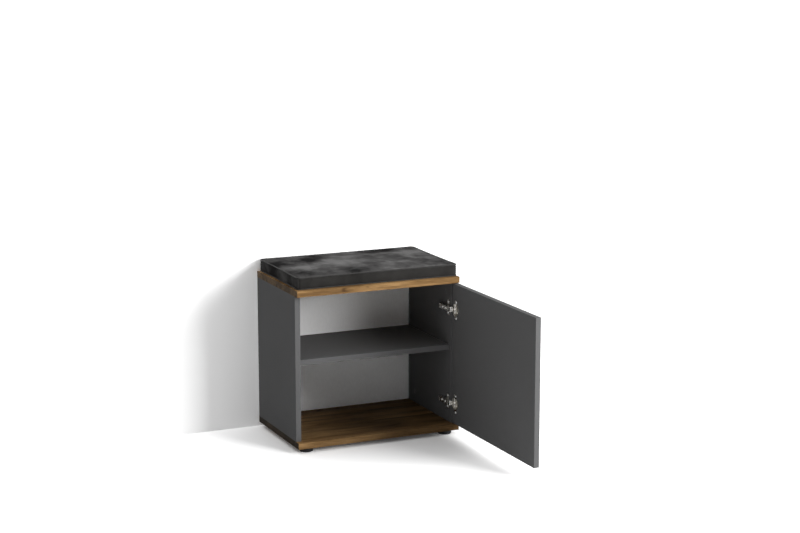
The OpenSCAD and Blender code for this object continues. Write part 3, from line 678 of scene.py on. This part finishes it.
def makeCover(settings):
    material, tree, shader = newMaterial("coverFabric")
    flat = placeOn(tree)
    cloud = mathOf(tree, "MULTIPLY", noiseOf(tree, flat, *settings["cloud"]), settings["cloudShare"])
    mottle = mathOf(tree, "MULTIPLY", noiseOf(tree, flat, *settings["mottle"]), settings["mottleShare"])
    middle = (settings["cloudShare"] + settings["mottleShare"]) / 2
    loose = mathOf(tree, "SUBTRACT", mathOf(tree, "ADD", cloud, mottle), middle)
    both = mathOf(tree, "ADD", paintedSheenOf(tree, flat, settings), loose)
    shades = [settings[shade] for shade in ("dark", "middle", "light")]
    colour = rampOf(tree, both, list(zip(settings["stops"], shades)))
    spot = tree.nodes.new("ShaderNodeTexCoord")
    weave = weaveOf(tree, axesOf(tree, spot.outputs["Object"]), settings)
    facing = axesOf(tree, spot.outputs["Normal"])
    # the top, and partly the short panels, take the lighter colours of painted sheen; the border keeps
    # the fabric's dark colour
    above = rangeOf(tree, facing["Z"], *settings["topSpan"], 0, 1)
    sideways = mathOf(tree, "ABSOLUTE", facing["X"])
    beside = rangeOf(tree, sideways, *settings["sideSpan"], 0, settings["sheenOverSide"])
    above = mathOf(tree, "MAXIMUM", above, beside)
    tone = rangeOf(tree, both, *settings["borderSpan"], *settings["borderTone"])
    colour = mixColours(tree, above, tinted(tree, settings["border"], tone), colour)
    colour = tinted(tree, colour, rangeOf(tree, weave, *settings["weaveSpan"], *settings["weaveTone"]))
    link(tree, colour, shader.inputs["Base Color"])
    smooth, rough = settings["roughness"]
    link(tree, rangeOf(tree, both, *settings["roughSpan"], rough, smooth), shader.inputs["Roughness"])
    shader.inputs["Specular IOR Level"].default_value = settings["gloss"]
    fine = bumpOf(tree, shader, weave, settings["weaveBump"], settings["weaveDepth"])
    nap = tree.nodes.new("ShaderNodeBump")
    nap.inputs["Strength"].default_value = settings["napBump"]
    nap.inputs["Distance"].default_value = settings["napDepth"]
    link(tree, both, nap.inputs["Height"])
    link(tree, nap.outputs["Normal"], fine.inputs["Normal"])
    return material


# Even coats: the piped seams, of the same fabric pulled smooth, and the caps on the cams' faces; the
# seams' lighter colour is partly painted highlight
coats = {
    "pipingFabric": {
        # lighter than the border: partly painted highlight along the seams
        "colour": (0.036, 0.035, 0.034), "roughness": (0.5, 0.62), "gloss": 0.08, "grain": 0.00006,
    },
    "capCoat": {
        "colour": (0.1, 0.1, 0.101), "roughness": (0.5, 0.62), "gloss": 0.15, "grain": 0.0001,
    },
    "pattern": (1700, 3, 0.6),
    "tone": (0.94, 1.05),
    "grainBump": 0.3,
}


def makeCoat(name, settings):
    material, tree, shader = newMaterial(name)
    own = settings[name]
    grain = noiseOf(tree, placeOn(tree), *settings["pattern"])
    tone = rangeOf(tree, grain, *noiseSpan, *settings["tone"])
    link(tree, tinted(tree, own["colour"], tone), shader.inputs["Base Color"])
    link(tree, rangeOf(tree, grain, *noiseSpan, *own["roughness"]), shader.inputs["Roughness"])
    shader.inputs["Specular IOR Level"].default_value = own["gloss"]
    bumpOf(tree, shader, grain, settings["grainBump"], own["grain"])
    return material


seamLook = makeCoat("pipingFabric", coats)
looks = {
    "oak_board": makeOak(oakBoard),
    "charcoal_board": makeCharcoal(charcoalBoard),
    "back_board": makeBack(backBoard),
    "nickel": makeMetal("nickelPlate", metals),
    "steel": makeMetal("zincSteel", metals),
    "zinc": makeMetal("castZinc", metals),
    "beech": makeBeech(beech),
    "black_plastic": makePlastic(footPlastic),
    "cushion_fabric": makeCover(coverFabric),
}
slotOf = {part["node"]: part["material_slot"] for part in frame["record"]["subparts"]}
ownLooks = {"cam_locks": makeCoat("capCoat", coats)}    # nodes whose finish isn't their slot's


def dressNodes():
    for name, node in nodes.items():
        node.data.materials.clear()
        node.data.materials.append(ownLooks.get(name, looks[slotOf[name]]))


dressNodes()
print("boards, hinges and feet dressed")


# Seat cushion
cushion = {
    "width": 0.495,
    "depth": 0.308,
    "edge": 0.035,          # height at the edges
    "crown": 0.005,
    "crownRings": (0.94, 0.86, 0.76, 0.64, 0.5, 0.34, 0.16),    # rings of the top, from rim to middle
    "crownPower": 2.4,      # higher: flatter in the middle, rounder at the rim
    "corner": 0.012,
    "draw": 0.003,          # how far a side is pulled in half way between its corners
    "drawPower": 8,         # higher: only the points close to the side follow
    "piping": 0.0015,       # radius of the piped seams
    "inset": 0.0014,        # the border lies this far behind the piping's outermost line
    "dip": 0.0004,          # and dips this much more beside the piping
    "besideSeam": (1.2, 3),          # where it starts and where it dips, in radii of the piping
    "spacing": 0.004,       # between the points of the outline
    "voxel": 0.005,
    "shrink": 0.003,        # the pad starts smaller, because it swells
    "shrinkHeight": 0.08,   # in height it shrinks as if it were this tall
    "held": 0.003,          # points this near to a seam are stitched fast
    "quality": 5,
    "mass": 0.2,
    "pressure": 4.0,
    "steps": 20,
    "cap": 0.008,           # how far a point may move
    "proud": 0.0016,        # how far the swollen top may stand over its own outline
    "proudBorder": 0.0007,  # and the border
    "wave": 0.0007,
    "waveScale": (13, 16, 13),
    "waveBias": 0.2,
    "pucker": 0.00045,
    "puckerReach": 0.009,
    "puckerScale": (95, 8, 2),       # along the seam, in height, and from face to face
    "puckerShift": 3.1,     # another value gives other puckers
    "puckerBias": 0.25,
}
facesUp = 0.6               # a normal's Z from which a face counts as the top
facesDown = -0.5
facesFlat = 0.97
runsUpwards = 0.2           # a strand that leans less than this from upright


def outline(halfX, halfY, radius, gap):
    # one closed loop of points, rounded at the corners
    made = []
    arcs = ((1, 1, 0), (-1, 1, 90), (-1, -1, 180), (1, -1, 270))
    steps = max(4, round(radius * math.pi / 2 / gap))
    for k, (signX, signY, start) in enumerate(arcs):
        middle = Vector((signX * (halfX - radius), signY * (halfY - radius)))
        for i in range(steps + 1):
            angle = math.radians(start + 90 * i / steps)
            made.append(middle + radius * Vector((math.cos(angle), math.sin(angle))))
        nextX, nextY, nextStart = arcs[(k + 1) % 4]
        angle = math.radians(nextStart)
        goal = Vector((nextX * (halfX - radius), nextY * (halfY - radius)))
        goal += radius * Vector((math.cos(angle), math.sin(angle)))
        last = made[-1]
        count = max(2, round((goal - last).length / gap))
        for i in range(1, count):
            made.append(last.lerp(goal, i / count))
    return made


def drawnIn(point, settings):
    halfX = settings["width"] / 2
    halfY = settings["depth"] / 2
    power = settings["drawPower"]
    pullX = 1 - min(1, abs(point.y) / halfY) ** 2
    pullY = 1 - min(1, abs(point.x) / halfX) ** 2
    x = point.x - math.copysign(settings["draw"] * pullX * (abs(point.x) / halfX) ** power, point.x)
    y = point.y - math.copysign(settings["draw"] * pullY * (abs(point.y) / halfY) ** power, point.y)
    return Vector((x, y))


def cushionLoop(inset, gap, settings):
    halfX = settings["width"] / 2 - inset
    halfY = settings["depth"] / 2 - inset
    return [drawnIn(p, settings) for p in outline(halfX, halfY, settings["corner"] - inset, gap)]


def cushionForm(middle, settings):
    # the cover's own outline, ring upon ring, closed by a flat bottom and a crowned top
    inset = settings["inset"]
    edge = settings["edge"]
    pipe = settings["piping"]
    gap = settings["spacing"]
    dip = inset + settings["dip"]
    start, deep = [times * pipe for times in settings["besideSeam"]]
    rings = [(2 * pipe, 0), (inset, start), (dip, deep), (inset, edge / 2)]
    rings += [(dip, edge - deep), (inset, edge - start), (2 * pipe, edge)]
    bm = bmesh.new()
    loops = [[bm.verts.new((p.x, p.y, z)) for p in cushionLoop(away, gap, settings)] for away, z in rings]
    rim = cushionLoop(2 * pipe, gap, settings)
    for share in settings["crownRings"]:
        z = edge + settings["crown"] * (1 - share ** settings["crownPower"])
        loops.append([bm.verts.new((p.x * share, p.y * share, z)) for p in rim])
    for lower, upper in zip(loops, loops[1:]):
        for i in range(len(lower)):
            j = (i + 1) % len(lower)
            bm.faces.new((lower[i], lower[j], upper[j], upper[i]))
    bm.faces.new(list(reversed(loops[0])))
    bm.faces.new(loops[-1])
    bmesh.ops.translate(bm, verts=bm.verts, vec=middle)
    mesh = bpy.data.meshes.new("seat_cushion_cover")
    bm.to_mesh(mesh)
    bm.free()
    return mesh


def addApplied(piece, kind, **settings):
    modifier = piece.modifiers.new(kind, kind)
    for key, value in settings.items():
        setattr(modifier, key, value)
    graph = bpy.context.evaluated_depsgraph_get()
    made = bpy.data.meshes.new_from_object(piece.evaluated_get(graph))
    piece.modifiers.clear()
    old = piece.data
    piece.data = made
    bpy.data.meshes.remove(old)


def swollen(piece, held, settings):
    # where the points lie after the cover has been blown up against its stitched edges
    group = piece.vertex_groups.new(name="stitched")
    group.add(held, 1.0, "REPLACE")
    cloth = piece.modifiers.new("swell", "CLOTH")
    cloth.settings.quality = settings["quality"]
    cloth.settings.mass = settings["mass"]
    cloth.settings.use_pressure = True
    cloth.settings.uniform_pressure_force = settings["pressure"]
    cloth.settings.effector_weights.gravity = 0
    cloth.settings.vertex_group_mass = "stitched"
    cloth.point_cache.frame_start = 1
    cloth.point_cache.frame_end = settings["steps"]
    for step in range(1, settings["steps"] + 1):
        bpy.context.scene.frame_set(step)
    graph = bpy.context.evaluated_depsgraph_get()
    places = [vertex.co.copy() for vertex in piece.evaluated_get(graph).data.vertices]
    piece.modifiers.clear()
    piece.vertex_groups.clear()
    bpy.context.scene.frame_set(1)
    return places


def seamShare(place, normal, settings):
    # 1 at a piped seam, falling to 0 away from it, and how far along the side the point lies
    flat = drawnIn(Vector((place.x, place.y)), settings)
    besideX = settings["width"] / 2 - abs(flat.x)
    besideY = settings["depth"] / 2 - abs(flat.y)
    if abs(normal.z) > facesUp:
        away = min(besideX, besideY)
    else:
        away = min(place.z, settings["edge"] - place.z)
    along = place.x if besideY < besideX else place.y
    return math.exp(-max(0, away) / settings["puckerReach"]), along


def stitchedPoints(full, outward, middle, settings):
    # the points along the two piped seams
    seams = (middle.z + settings["piping"], middle.z + settings["edge"] - settings["piping"])
    held = []
    for i, (place, normal) in enumerate(zip(full, outward)):
        near = min(abs(place.z - seam) for seam in seams) < settings["held"]
        if near and abs(normal.z) < facesFlat:
            held.append(i)
    return held


def swellCover(piece, middle, settings):
    mesh = piece.data
    full = [vertex.co.copy() for vertex in mesh.vertices]
    outward = [vertex.normal.copy() for vertex in mesh.vertices]
    heart = middle + Vector((0, 0, settings["edge"] / 2))
    sides = (settings["width"], settings["depth"], settings["shrinkHeight"])
    shares = [1 - 2 * settings["shrink"] / side for side in sides]
    for vertex in mesh.vertices:
        vertex.co = heart + Vector([share * d for share, d in zip(shares, vertex.co - heart)])
    before = [vertex.co.copy() for vertex in mesh.vertices]
    held = stitchedPoints(full, outward, middle, settings)
    print("cushion points:", len(full), "stitched:", len(held))
    after = swollen(piece, held, settings)
    for i, vertex in enumerate(mesh.vertices):
        move = after[i] - before[i]
        if move.length > settings["cap"]:
            move.length = settings["cap"]
        place = before[i] + move
        over = (place - full[i]).dot(outward[i])
        # never less than its outline, and flat where it rests on the plate
        most = settings["proud" if outward[i].z > facesUp else "proudBorder"]
        place += outward[i] * (min(max(over, 0), most) - over)
        if outward[i].z < facesDown:
            place = full[i]
        vertex.co = place


def wrinkle(mesh, middle, settings):
    # small puckers along the seams, and soft waves between them
    outward = [vertex.normal.copy() for vertex in mesh.vertices]
    alongScale, heightScale, faceScale = settings["puckerScale"]
    waves = settings["waveScale"]
    for vertex, normal in zip(mesh.vertices, outward):
        place = vertex.co - middle
        if normal.z < facesDown:
            vertex.co.z = max(vertex.co.z, middle.z)
            continue
        share, along = seamShare(place, normal, settings)
        height = place.z * heightScale + settings["puckerShift"]
        ripple = noise.noise(Vector((along * alongScale, height, normal.z * faceScale)))
        broad = noise.noise(Vector([d * scale for d, scale in zip(place, waves)]))
        pucker = settings["pucker"] * share * (ripple + settings["puckerBias"])
        wave = settings["wave"] * (1 - share) * max(0, broad + settings["waveBias"])
        vertex.co += normal * (pucker + wave)
        vertex.co.z = max(vertex.co.z, middle.z)


def makeCushion(settings):
    low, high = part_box("seat_cushion")
    middle = Vector(((low[0] + high[0]) / 2, (low[1] + high[1]) / 2, low[2]))
    piece = bpy.data.objects.new("seat_cushion_cover", cushionForm(middle, settings))
    bpy.context.scene.collection.objects.link(piece)
    addApplied(piece, "REMESH", mode="VOXEL", voxel_size=settings["voxel"])
    swellCover(piece, middle, settings)
    addApplied(piece, "SUBSURF", levels=1, render_levels=1)
    wrinkle(piece.data, middle, settings)
    for face in piece.data.polygons:
        face.use_smooth = True
    return piece, middle


def tubeAlong(bm, points, radius, closed, sides, wobble=0.0, frequency=1.0):
    # a round strand that follows the points
    rings = []
    count = len(points)
    for i, point in enumerate(points):
        before = points[i - 1] if closed or i > 0 else points[i]
        after = points[(i + 1) % count] if closed or i < count - 1 else points[i]
        ahead = (after - before).normalized()
        across = ahead.cross(Vector((0, 0, 1)))
        if across.length < runsUpwards:
            across = ahead.cross(Vector((1, 0, 0)))
        across.normalize()
        over = across.cross(ahead)
        size = radius * (1 + wobble * noise.noise(point * frequency))
        ring = []
        for k in range(sides):
            angle = 2 * math.pi * k / sides
            ring.append(bm.verts.new(point + size * (math.cos(angle) * across + math.sin(angle) * over)))
        rings.append(ring)
    pairs = list(zip(rings, rings[1:]))
    if closed:
        pairs.append((rings[-1], rings[0]))
    for one, other in pairs:
        for k in range(sides):
            j = (k + 1) % sides
            bm.faces.new((one[k], one[j], other[j], other[k]))
    if not closed:
        bm.faces.new(list(reversed(rings[0])))
        bm.faces.new(rings[-1])


def pieceOf(name, bm, look):
    bmesh.ops.recalc_face_normals(bm, faces=bm.faces)
    mesh = bpy.data.meshes.new(name)
    bm.to_mesh(mesh)
    bm.free()
    for face in mesh.polygons:
        face.use_smooth = True
    piece = bpy.data.objects.new(name, mesh)
    bpy.context.scene.collection.objects.link(piece)
    piece.data.materials.append(look)
    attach(piece, "cushion")


# Piped seams round the top and the bottom of the border
pipedSeams = {
    "spacing": 0.0025,
    "sides": 10,
    "wobble": 0.12,
    "frequency": 300,
}


def makePiping(name, z, middle, settings, own):
    bm = bmesh.new()
    points = []
    for p in cushionLoop(settings["piping"], own["spacing"], settings):
        points.append(middle + Vector((p.x, p.y, z)))
    tubeAlong(bm, points, settings["piping"], True, own["sides"], own["wobble"], own["frequency"])
    pieceOf(name, bm, seamLook)


# The border's four panels meet in a raised fold at each corner
cornerSeams = {
    "radius": 0.0008,
    "points": 15,
    "sway": 0.0002,
    "swayTurn": 1.3,        # radians from point to point
    "sides": 8,
    "wobble": 0.2,
    "frequency": 500,
}


def makeCornerSeams(middle, settings, own):
    bm = bmesh.new()
    radius = settings["corner"]
    away = radius - radius / math.sqrt(2) + settings["inset"] / math.sqrt(2)
    last = own["points"] - 1
    for signX in (-1, 1):
        for signY in (-1, 1):
            x = signX * (settings["width"] / 2 - away)
            y = signY * (settings["depth"] / 2 - away)
            points = []
            for i in range(own["points"]):
                z = settings["piping"] + (settings["edge"] - 2 * settings["piping"]) * i / last
                sway = own["sway"] * math.sin(i * own["swayTurn"] + signX + 2 * signY)
                points.append(middle + Vector((x + sway, y - sway, z)))
            tubeAlong(bm, points, own["radius"], False, own["sides"], own["wobble"], own["frequency"])
    pieceOf("seat_cushion_corner_seams", bm, seamLook)


# A coil zip lies in the middle of the back border, between two folds of the cover
coilZip = {
    "length": 0.38,
    "foldApart": 0.0026,    # from the zip's middle
    "foldRadius": 0.0011,
    "foldOut": 0.0007,      # out of the border
    "foldPoints": 96,
    "foldSides": 8,
    "foldWobble": 0.15,
    "foldFrequency": 400,
    "pitch": 0.0016,
    "turnSteps": 6,
    "fewerTurns": 6,        # the coil ends before the folds do
    "coilStart": 0.004,
    "coilOut": 0.0011,
    "coilDeep": 0.0005,
    "coilTall": 0.0013,
    "coilRadius": 0.0003,
    "coilSides": 5,
    "sliderFromEnd": 0.012,
    "sliderOut": 0.0014,
    "sliderThick": 0.0014,
    "sliderShape": ((-0.0045, 0.0014), (-0.001, 0.0032), (0.003, 0.0034), (0.0045, 0.0022)),
    "tabOut": 0.0015,       # out of the slider
    "tabThick": 0.0008,
    "tabShape": ((0.003, 0.0012), (-0.009, 0.0016), (-0.0135, 0.0026), (-0.0155, 0.0012)),
    "bevel": 0.00025,
    "bevelSteps": 2,
    "bevelProfile": 0.7,
}


def backAt(x, settings):
    # where the back border lies at this x
    return drawnIn(Vector((x, settings["depth"] / 2 - settings["inset"])), settings).y


def slab(bm, corners, thick):
    near = [bm.verts.new(corner) for corner in corners]
    far = [bm.verts.new(corner + Vector((0, thick, 0))) for corner in corners]
    bm.faces.new(near)
    bm.faces.new(list(reversed(far)))
    for i in range(len(near)):
        j = (i + 1) % len(near)
        bm.faces.new((near[i], far[i], far[j], near[j]))


def makeZipFolds(middle, settings, own):
    half = own["length"] / 2
    z = settings["edge"] / 2
    last = own["foldPoints"] - 1
    folds = bmesh.new()
    for shift in (-own["foldApart"], own["foldApart"]):
        points = []
        for i in range(own["foldPoints"]):
            x = -half + 2 * half * i / last
            points.append(middle + Vector((x, backAt(x, settings) + own["foldOut"], z + shift)))
        kind = (own["foldSides"], own["foldWobble"], own["foldFrequency"])
        tubeAlong(folds, points, own["foldRadius"], False, *kind)
    pieceOf("seat_cushion_zip_folds", folds, looks["cushion_fabric"])


def makeZipCoil(middle, settings, own):
    half = own["length"] / 2
    height = settings["edge"] / 2
    steps = own["turnSteps"]
    turns = int(own["length"] / own["pitch"]) - own["fewerTurns"]
    coil = bmesh.new()
    points = []
    for i in range(turns * steps):
        angle = i * 2 * math.pi / steps
        x = -half + own["coilStart"] + own["pitch"] * i / steps
        y = backAt(x, settings) + own["coilOut"] + own["coilDeep"] * math.cos(angle)
        points.append(middle + Vector((x, y, height + own["coilTall"] * math.sin(angle))))
    tubeAlong(coil, points, own["coilRadius"], False, own["coilSides"])
    pieceOf("seat_cushion_zip_coil", coil, looks["black_plastic"])


def makeZipSlider(middle, settings, own):
    x = own["length"] / 2 - own["sliderFromEnd"]
    y = backAt(x, settings) + own["sliderOut"]
    z = settings["edge"] / 2
    slider = bmesh.new()
    parts = (("sliderShape", y, "sliderThick"), ("tabShape", y + own["tabOut"], "tabThick"))
    for shape, depth, thick in parts:
        upper = list(own[shape])
        ring = upper + [(px, -pz) for px, pz in reversed(upper)]
        slab(slider, [middle + Vector((x + px, depth, z + pz)) for px, pz in ring], own[thick])
    rounded = {"offset": own["bevel"], "segments": own["bevelSteps"], "profile": own["bevelProfile"]}
    bmesh.ops.bevel(slider, geom=slider.edges[:], affect="EDGES", **rounded)
    pieceOf("seat_cushion_zip_slider", slider, looks["nickel"])


cover, cushionMiddle = makeCushion(cushion)
cover.data.materials.clear()
cover.data.materials.append(looks["cushion_fabric"])
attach(cover, "cushion")
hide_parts("seat_cushion")
print("cushion cover ready")

lowSeam = cushion["piping"]
highSeam = cushion["edge"] - cushion["piping"]
makePiping("seat_cushion_piping_low", lowSeam, cushionMiddle, cushion, pipedSeams)
makePiping("seat_cushion_piping_high", highSeam, cushionMiddle, cushion, pipedSeams)
makeCornerSeams(cushionMiddle, cushion, cornerSeams)
makeZipFolds(cushionMiddle, cushion, coilZip)
makeZipCoil(cushionMiddle, cushion, coilZip)
makeZipSlider(cushionMiddle, cushion, coilZip)
print("cushion seams and zip ready")
